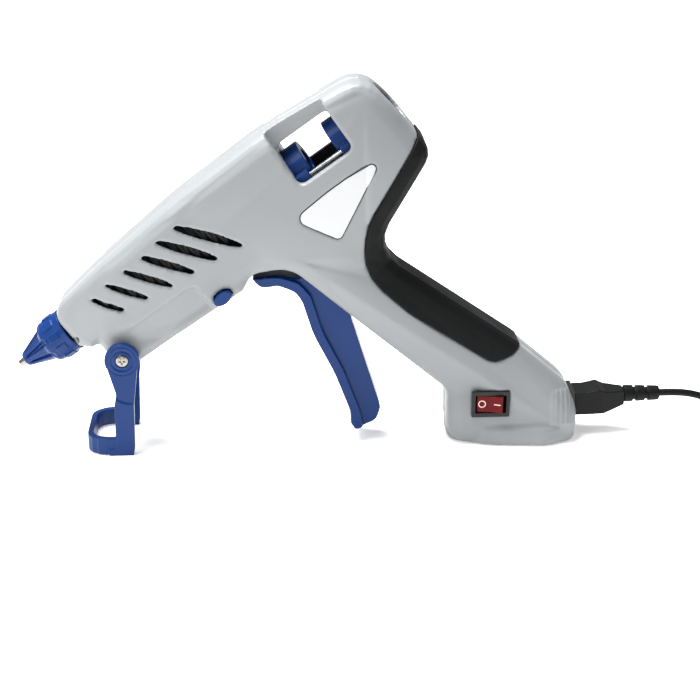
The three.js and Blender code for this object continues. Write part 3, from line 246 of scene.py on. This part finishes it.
# Length, diameter and exit in metres; the route's lead, coil and plug in millimetres, as in the CAD.
cordSetup = {
    "length": 1.8, "diameter": 0.0042, "exit": (0.20795, 0, 0.0219),
    "lead": [(207.95, 0, 21.9), (212, 0, 21.95), (217, -0.02, 21.9), (222, -0.1, 21.65), (227, -0.35, 21.0),
             (231.5, -0.9, 20.0), (236, -1.8, 18.5), (241, -3.4, 15.9), (246, -5.4, 12.8), (250.5, -7.7, 9.7),
             (255, -10.3, 6.8), (259, -12.9, 4.7), (263, -15.7, 3.1), (266.8, -18.5, 2.35), (270.5, -21.0, 2.1),
             (275, -23.7, 2.1), (280, -26.1, 2.1), (285, -27.7, 2.1), (290.5, -28.5, 2.1), (296, -28.6, 2.1)],
    "centre": (296, 0), "radii": (28.6, 24.4, 20.2), "layers": (2.1, 6.3, 10.5, 14.7), "turns": 11,
    "perTurn": 36, "climb": 0.25, "tail": 16, "level": 0.3, "plug": (332, -14, 6.9),
}


# Points round a centre: the angle grows evenly, and the radius and height step from one turn to the next.
# Each step is an S-shaped rise, 3s^2 - 2s^3, over the last part of a turn.
def coilTurns(spec):
    order = []
    for layer, height in enumerate(spec["layers"]):
        radii = spec["radii"] if layer % 2 == 0 else spec["radii"][::-1]
        order += [(radius, height) for radius in radii]
    radius, height = np.array(order).T
    turn = np.arange(1, spec["turns"] * spec["perTurn"] + 1) / spec["perTurn"]
    whole = np.minimum(np.floor(turn - 1e-9).astype(int), len(order) - 2)
    rise = step(1 - spec["climb"], 1, turn - whole)
    wide = radius[whole] + rise * (radius[whole + 1] - radius[whole])
    tall = height[whole] + rise * (height[whole + 1] - height[whole])
    angle = 2 * math.pi * turn - math.pi / 2
    return np.stack([spec["centre"][0] + wide * np.cos(angle), spec["centre"][1] + wide * np.sin(angle), tall], 1)


# The lead, the coil, then a run to the plug: even in x, S-shaped in y, and level before it drops in z.
def cordLine(spec):
    coil = coilTurns(spec)
    plug = np.array(spec["plug"])
    share = np.linspace(0, 1, spec["tail"])[1:, None]
    run = coil[-1] + (plug - coil[-1]) * np.concatenate([share, step(0, 1, share), step(spec["level"], 1, share)], 1)
    return np.concatenate([np.array(spec["lead"]), coil, run]) / 1000


line = cordLine(cordSetup)
lineLength = np.linalg.norm(np.diff(line, axis=0), axis=1).sum()
curveData = bpy.data.curves.new("mainsCord", "CURVE")
curveData.dimensions = "3D"
curveData.bevel_depth = cordSetup["diameter"] / 2
curveData.bevel_resolution = 4
curveData.use_fill_caps = True
spline = curveData.splines.new("POLY")
spline.points.add(len(line) - 1)
spline.points.foreach_set("co", np.concatenate([line, np.ones((len(line), 1))], 1).ravel())
spline.use_smooth = True
mainsCord = bpy.data.objects.new("mainsCord", curveData)
bpy.context.scene.collection.objects.link(mainsCord)
curveData.materials.append(softPvc)
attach(mainsCord, "body")
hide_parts("cord", "cord_coil", "cord_tail")
print("cord laid:", round(float(lineLength), 3), "m")


# Corners of the gun's side outline, x and z in millimetres.
outline = {"points": [(-126.5, 83.5), (-110.9, 102.9), (-62.9, 141.4), (-6.4, 185.1), (42.3, 207.1), (60.0, 187.7),
                      (77.4, 162.1), (40.1, 114.7), (121.6, 59), (151.8, 33.5), (157.9, 19.5), (157.9, 0), (83.3, 0),
                      (83.3, 31), (12.7, 99.3), (-20, 108), (-75, 71), (-103.4, 60.5), (-116.1, 62)]}
# How far in from the outline a side falls away, by what share at the outline, and how soft the least distance is.
# Below footTop the heel's foot keeps its width, and the fall sets in over footBlend.
crown = {"reach": 29.0, "share": 0.16, "blend": 0.005, "footTop": 0.012, "footBlend": 0.02}


# How far each point is from the outline's segments, as a soft least value, so that no crease shows:
# -b log(sum(exp(-distance / b))).
def outlineDistance(x, z):
    corners = np.array(outline["points"]) / 1000
    stretch = np.roll(corners, -1, 0) - corners
    place = np.stack([x, z], 1)[:, None, :] - corners[None]
    along = np.clip((place * stretch).sum(2) / (stretch ** 2).sum(1), 0, 1)
    far = np.sqrt(((place - along[..., None] * stretch) ** 2).sum(2))
    return -crown["blend"] * np.log(np.exp(-far / crown["blend"]).sum(1))


# Moves y towards the middle by a share that grows with the square of how near the outline the point is.
def crowned(points):
    near = 1 - np.clip(outlineDistance(points[:, 0], points[:, 2]) / (crown["reach"] / 1000), 0, 1)
    foot = np.clip((points[:, 2] - crown["footTop"]) / crown["footBlend"], 0, 1)
    points[:, 1] *= 1 - crown["share"] * near ** 2 * foot
    return points


# A box in x and z in millimetres, how many ribs it holds, and how softly it starts and ends.
heelRibs = {"x": (142.6, 154.0), "z": (11.5, 31.5), "count": 4, "height": 0.9, "pad": 0.5, "soft": 0.6,
            "side": (11, 13)}


def between(low, high, soft, value):  # 1 between low and high, falling to 0 over soft on either side of each
    return step(low - soft, low + soft, value) * (1 - step(high - soft, high + soft, value))


# The crowned shell with a raised pad of upright ribs on each side of the heel:
# inside its box y grows by pad + height * (half a cosine wave of x, from 0 to 1).
def shellForm(points):
    points = crowned(points)
    x, y, z = points.T * 1000
    (x0, x1), (z0, z1) = heelRibs["x"], heelRibs["z"]
    inside = between(x0, x1, heelRibs["soft"], x) * between(z0, z1, heelRibs["soft"], z)
    inside *= step(*heelRibs["side"], np.abs(y))
    wave = 0.5 + 0.5 * np.cos(2 * math.pi * heelRibs["count"] * (x - x0) / (x1 - x0))
    points[:, 1] += np.sign(y) * inside * (heelRibs["pad"] + heelRibs["height"] * wave) / 1000
    return points


# In millimetres: a groove is (radius, width, depth), and the seam is a parabola of x about its middle.
standMarks = {"pivot": (-97.865, 57.028), "grooves": ((5.7, 0.5, 0.55), (8.3, 0.35, 0.3)), "face": 21.6,
              "faceSoft": 0.3, "seam": 31.5, "seamMiddle": -94.5, "seamArch": 0.05, "seamSoft": 0.35, "step": 0.6}


# Ring grooves round each pivot, as a bell-shaped dip exp(-((r - radius) / width)^2), and a lower arm that
# stands proud below an arched seam.
def standForm(points):
    x, y, z = points.T * 1000
    outer = step(standMarks["face"] - standMarks["faceSoft"], standMarks["face"] + standMarks["faceSoft"], np.abs(y))
    radius = np.hypot(x - standMarks["pivot"][0], z - standMarks["pivot"][1])
    shift = sum(-deep * np.exp(-((radius - at) / wide) ** 2) for at, wide, deep in standMarks["grooves"])
    seam = standMarks["seam"] + standMarks["seamArch"] * (x - standMarks["seamMiddle"]) ** 2
    shift = shift + standMarks["step"] * (1 - step(-standMarks["seamSoft"], standMarks["seamSoft"], z - seam))
    points[:, 1] += np.sign(y) * outer * shift / 1000
    return points


# The barrel's line: its end in millimetres and its direction. The flutes run from one station on it to another.
# Only skin beyond the hull share of the widest radius at its station is fluted, so the bore stays round.
nose = {"end": (-157.03, 47.5), "rise": (0.81412, 0.5807), "flutes": 8, "from": 5.0, "to": 23.5, "depth": 2.2,
        "wide": (0.6, 1.7), "hull": 0.72, "stations": 60, "runIn": 0.25, "runOut": 0.9}


# Flutes along the cone: round the barrel's line, the radius dips by depth * exp(-(d / wide)^4), where d is the
# distance to the middle of the nearest flute.
def noseForm(points):
    x, y, z = points.T * 1000
    alongX, alongZ = x - nose["end"][0], z - nose["end"][1]
    station = alongX * nose["rise"][0] + alongZ * nose["rise"][1]
    height = alongZ * nose["rise"][0] - alongX * nose["rise"][1]
    radius, angle = np.hypot(y, height), np.arctan2(y, height)
    place = np.clip(station.astype(int), 0, nose["stations"] - 1)
    widest = np.zeros(nose["stations"])
    np.maximum.at(widest, place, radius)
    share = np.clip((station - nose["from"]) / (nose["to"] - nose["from"]), 0, 1)
    pitch = 2 * math.pi / nose["flutes"]
    aside = np.abs((angle / pitch) % 1 - 0.5) * pitch * radius
    wide = nose["wide"][0] + share * (nose["wide"][1] - nose["wide"][0])
    dip = nose["depth"] * step(0, nose["runIn"], share) * (1 - step(nose["runOut"], 1, share))
    dip *= np.exp(-(aside / wide) ** 4) * (radius > nose["hull"] * widest[place])
    across = (radius - dip) / np.maximum(radius, 1e-6)
    newHeight, points[:, 1] = height * across, y * across / 1000
    points[:, 0] = (nose["end"][0] + station * nose["rise"][0] - newHeight * nose["rise"][1]) / 1000
    points[:, 2] = (nose["end"][1] + station * nose["rise"][1] + newHeight * nose["rise"][0]) / 1000
    return points


# Each pass moves a point half way to its neighbours' mean, then back by a little more, so that edges round and
# the size stays.
def relaxed(points, edges, passes, firmness=0.53):
    count = np.bincount(edges.ravel(), minlength=len(points))[:, None]
    for _ in range(passes):
        for share in (0.5, -firmness):
            total = np.stack([np.bincount(edges[:, 0], points[edges[:, 1], k], len(points))
                              + np.bincount(edges[:, 1], points[edges[:, 0], k], len(points)) for k in range(3)], 1)
            points = points + share * (total / count - points)
    return points


# Points nearer than this are merged before a mesh is used, in metres: on a copy of a CAD node, and on a new piece.
mergeWithin = {"node": 2e-6, "piece": 1e-7}


# A CAD piece's shape with moulded edges: merged, rebuilt on a cubic grid of one voxel in millimetres, and relaxed.
def skin(name, source, voxel, passes, change=None, material=None):
    build = bmesh.new()
    build.from_mesh(nodes[source].data)
    bmesh.ops.remove_doubles(build, verts=build.verts, dist=mergeWithin["node"])
    rough = bpy.data.meshes.new(name + "Rough")
    build.to_mesh(rough)
    build.free()
    holder = bpy.data.objects.new(name + "Rough", rough)
    bpy.context.scene.collection.objects.link(holder)
    grid = holder.modifiers.new("grid", "REMESH")
    grid.mode = "VOXEL"
    grid.voxel_size = voxel / 1000
    mesh = bpy.data.meshes.new_from_object(holder.evaluated_get(bpy.context.evaluated_depsgraph_get()))
    bpy.data.objects.remove(holder)
    bpy.data.meshes.remove(rough)
    points = np.empty(len(mesh.vertices) * 3)
    mesh.vertices.foreach_get("co", points)
    edges = np.empty(len(mesh.edges) * 2, int)
    mesh.edges.foreach_get("vertices", edges)
    points = relaxed(points.reshape(-1, 3), edges.reshape(-1, 2), passes)
    if change:
        points = change(points)
    mesh.vertices.foreach_set("co", points.ravel())
    mesh.materials.clear()
    mesh.materials.append(material or slotLooks[nodeSlots[source]])
    mesh.polygons.foreach_set("material_index", np.zeros(len(mesh.polygons), int))
    mesh.shade_smooth()
    mesh.name = name
    made = bpy.data.objects.new(name, mesh)
    bpy.context.scene.collection.objects.link(made)
    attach(made, nodeBodies[source])
    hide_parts(source)
    print("skin", name, len(mesh.polygons), "faces")


# Piece, CAD node, voxel in millimetres, relaxing passes, and the form that is laid over it.
skinTable = [
    ("shellLeft", "housing_left", 0.98, 9, shellForm),
    ("shellRight", "housing_right", 0.98, 9, shellForm),
    ("gripSleeve", "grip", 0.6, 26, crowned),
    ("badgePlateLeft", "badge_left", 0.3, 4, crowned),
    ("badgePlateRight", "badge_right", 0.3, 4, crowned),
    ("triggerBlade", "trigger", 0.5, 16, None),
    ("standFrame", "stand", 0.35, 16, standForm),
    ("noseCollar", "nozzle_collar", 0.25, 8, noseForm),
    ("nozzle", "nozzle_tip", 0.25, 4, None),
    ("latchCap", "latch_button", 0.2, 12, None),
    ("rockerFrame", "switch_bezel", 0.2, 4, None),
    ("rocker", "switch_rocker", 0.2, 6, None),
    ("cordSocketBody", "cord_connector", 0.35, 30, None),
    ("reliefRings", "strain_relief", 0.25, 6, None),
    ("plugBody", "plug_body", 0.45, 16, None),
    ("carriage", "feed_carriage", 0.35, 8, None),
    ("stickGuide", "rear_guide", 0.35, 8, crowned),
    ("triggerPivotPin", "trigger_pin", 0.3, 3, crowned),
] + [("shellScrew%d" % number, "housing_screw_%d" % number, 0.3, 3, crowned) for number in range(1, 8)]
for name, source, voxel, passes, change in skinTable:
    skin(name, source, voxel, passes, change, nickel if name == "nozzle" or "Screw" in name else None)


# A smooth-shaded mesh on the body, with its doubles merged and its faces turned out.
def pieceFrom(name, points, faces, material):
    mesh = bpy.data.meshes.new(name)
    mesh.from_pydata(points.tolist(), [], faces.tolist())
    mesh.materials.append(material)
    build = bmesh.new()
    build.from_mesh(mesh)
    bmesh.ops.remove_doubles(build, verts=build.verts, dist=mergeWithin["piece"])
    bmesh.ops.recalc_face_normals(build, faces=build.faces)
    build.to_mesh(mesh)
    build.free()
    mesh.shade_smooth()
    made = bpy.data.objects.new(name, mesh)
    bpy.context.scene.collection.objects.link(made)
    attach(made, "body")
    return made


def gridFaces(rows, columns, wrapRows=False, wrapColumns=False):  # quads between neighbours on a grid of points
    index = np.arange(rows * columns).reshape(rows, columns)
    right = np.roll(index, -1, 1) if wrapColumns else index[:, 1:]
    base = index if wrapColumns else index[:, :-1]
    below = np.roll(np.arange(rows), -1) if wrapRows else np.arange(1, rows)
    keep = slice(None) if wrapRows else slice(0, rows - 1)
    return np.stack([base[keep], right[keep], right[below], base[below]], -1).reshape(-1, 4)


# A closed round bead: at each point of a loop in the x-z plane, a circle of cos and sin in the loop's normal and y.
def bead(name, path, radius, material, sides=10):
    ahead = np.roll(path, -1, 0) - np.roll(path, 1, 0)
    normal = np.stack([ahead[:, 2], np.zeros(len(path)), -ahead[:, 0]], 1)
    normal /= np.linalg.norm(normal, axis=1)[:, None]
    angle = np.arange(sides) * 2 * math.pi / sides
    wide, tall = np.cos(angle)[None, :, None], np.sin(angle)[None, :, None]
    ring = path[:, None] + radius * (wide * normal[:, None] + tall * [0, 1, 0])
    return pieceFrom(name, ring.reshape(-1, 3), gridFaces(len(path), sides, wrapRows=True, wrapColumns=True),
                     material)


# The rim of a plate's outer face: the hull of its points in the x-z plane, resampled evenly along the loop.
def faceLoop(node, side, count):
    raw = np.empty(len(nodes[node].data.vertices) * 3)
    nodes[node].data.vertices.foreach_get("co", raw)
    raw = raw.reshape(-1, 3)
    high = raw[np.argsort(-raw[:, 1] * side)]
    high = high[np.unique(high[:, [0, 2]].round(5), axis=0, return_index=True)[1]]
    loop = high[convex_hull_2d([Vector((p[0], p[2])) for p in high])]
    closed = np.concatenate([loop, loop[:1]])
    length = np.concatenate([[0], np.cumsum(np.linalg.norm(np.diff(closed, axis=0), axis=1))])
    where = np.arange(count) * length[-1] / count
    return np.stack([np.interp(where, length, closed[:, k]) for k in range(3)], 1)


# A thin black bead round each badge plate is painted shade: it darkens the narrow gap between the plate and the
# shell.
badgeGapShade = {"points": 160, "radius": 0.00032, "sunk": 0.0002}  # metres
for side, name in ((-1, "Left"), (1, "Right")):
    rim = crowned(faceLoop("badge_" + name.lower(), side, badgeGapShade["points"]))
    rim[:, 1] -= side * badgeGapShade["sunk"]
    bead("badgeGapShade" + name, rim, badgeGapShade["radius"], blackAbs)

# Millimetres, and the turn of the cross in radians.
screwHead = {"radius": 3.3, "dome": 0.55, "arm": 2.2, "slot": 0.5, "deep": 1.1, "edge": 0.7, "proud": 0.12,
             "slotSoft": 0.15, "armSoft": (0.3, 0.1), "turn": 0.5, "rings": 34, "spokes": 96}


# A cross-recessed head on a polar grid: height = dome * (1 - r^2) less a smooth dip within either arm of the cross.
def crossHead(name, node, side):
    low, high = (np.array(corner) * 1000 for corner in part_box(node))
    x, z = (low + high)[[0, 2]] / 2
    face = (high if side > 0 else low)[1]
    rings, spokes = screwHead["rings"], screwHead["spokes"]
    ratio = np.linspace(0, 1, rings)
    angle = np.arange(spokes) * 2 * math.pi / spokes
    r, a = np.meshgrid(ratio * screwHead["radius"], angle, indexing="ij")
    u, v = r * np.cos(a + screwHead["turn"]), r * np.sin(a + screwHead["turn"])
    slot, slotSoft = screwHead["slot"], screwHead["slotSoft"]
    arm, (armIn, armOut) = screwHead["arm"], screwHead["armSoft"]
    arms = [(1 - step(slot - slotSoft, slot + slotSoft, np.abs(p))) * (1 - step(arm - armIn, arm + armOut, np.abs(q)))
            for p, q in ((u, v), (v, u))]
    top = screwHead["dome"] * (1 - (r / screwHead["radius"]) ** 2) - screwHead["deep"] * np.maximum(*arms)
    under = np.full(spokes, -screwHead["edge"])
    edge = np.stack([x + u[-1], under, z + v[-1]], -1)
    back = np.stack([np.full(spokes, x), under, np.full(spokes, z)], -1)
    points = np.concatenate([np.stack([x + u, top, z + v], -1), edge[None], back[None]])
    points[..., 1] = face + side * (screwHead["proud"] + points[..., 1])
    faces = gridFaces(rings + 2, spokes, wrapColumns=True)
    return pieceFrom(name, points.reshape(-1, 3) / 1000, faces, nickel)


crossHead("standScrewHeadLeft", "stand_screw_left", -1)
crossHead("standScrewHeadRight", "stand_screw_right", 1)

# A dark ribbed sheet stands behind the vents on each side as painted shade for the dark inside of the housing,
# in millimetres along and across the barrel's line: y = depth + rib * cos(2 pi along / pitch), less a taper towards
# the nose and a bow that grows with up^2.
innerShadeSheet = {"from": 52, "to": 150, "low": -18, "high": 17, "depth": 15.6, "rib": 0.4, "pitch": 4.2, "taper": 0.12,
          "taperFrom": 84, "bow": 0.011, "wall": 0.0008, "grid": (200, 12)}
along, up = np.meshgrid(np.linspace(innerShadeSheet["from"], innerShadeSheet["to"], innerShadeSheet["grid"][0]),
                        np.linspace(innerShadeSheet["low"], innerShadeSheet["high"], innerShadeSheet["grid"][1]), indexing="ij")
alongX = nose["end"][0] + along * nose["rise"][0] - up * nose["rise"][1]
alongZ = nose["end"][1] + along * nose["rise"][1] + up * nose["rise"][0]
ribs = innerShadeSheet["rib"] * np.cos(2 * math.pi * along / innerShadeSheet["pitch"])
noseward = np.clip(innerShadeSheet["taperFrom"] - along, 0, None)
depth = innerShadeSheet["depth"] - innerShadeSheet["taper"] * noseward - innerShadeSheet["bow"] * up ** 2 + ribs
for side, name in ((-1, "Left"), (1, "Right")):
    sheetPoints = np.stack([alongX, side * depth, alongZ], -1).reshape(-1, 3) / 1000
    made = pieceFrom("ventShadeSheet" + name, sheetPoints, gridFaces(*innerShadeSheet["grid"]), blackAbs)
    made.modifiers.new("wall", "SOLIDIFY").thickness = innerShadeSheet["wall"]
print("small pieces made")

floorReach = 6  # half the floor's width in metres
floorMesh = bpy.data.meshes.new("floor")
floorMesh.from_pydata([(floorReach * x, floorReach * y, 0) for x, y in ((-1, -1), (1, -1), (1, 1), (-1, 1))], [],
                      [(0, 1, 2, 3)])
floor = bpy.data.objects.new("floor", floorMesh)
# Uncoated paper: an even white with no shine, lifted a little so that the ground reads as a studio's white.
floorMesh.materials.append(finished("matt white paper", {
    "colour": "#f7f7f6", "drift": 0.005, "driftSize": 400, "roughness": 0.9, "grain": 2, "relief": 0.02,
    "Emission Color": linearColour("#ffffff"), "Emission Strength": 0.34}))
bpy.context.scene.collection.objects.link(floor)

skyStrength = 0.42
world = bpy.data.worlds.new("studio")
world.use_nodes = True
air = world.node_tree.nodes["Background"].inputs
air["Color"].default_value, air["Strength"].default_value = white, skyStrength
bpy.context.scene.world = world
bpy.context.scene.view_settings.view_transform = "Standard"


def softbox(name, place, aim, size, power):
    data = bpy.data.lights.new(name, "AREA")
    data.shape = "RECTANGLE"
    data.size, data.size_y = size
    data.energy = power
    lamp = bpy.data.objects.new(name, data)
    lamp.location = place
    lamp.rotation_mode = "QUATERNION"
    lamp.rotation_quaternion = (Vector(aim) - Vector(place)).to_track_quat("-Z", "Y")
    bpy.context.scene.collection.objects.link(lamp)


# Place, aim and size in metres, power in watts.
softboxes = {
    "top softbox": {"place": (-0.35, 0.15, 1.25), "aim": (0, 0, 0.1), "size": (0.8, 0.7), "power": 48},
    "left softbox": {"place": (-0.55, -0.5, 0.6), "aim": (-0.05, 0, 0.12), "size": (0.4, 0.4), "power": 3},
}
for name, setup in softboxes.items():
    softbox(name, **setup)
print("lights set")
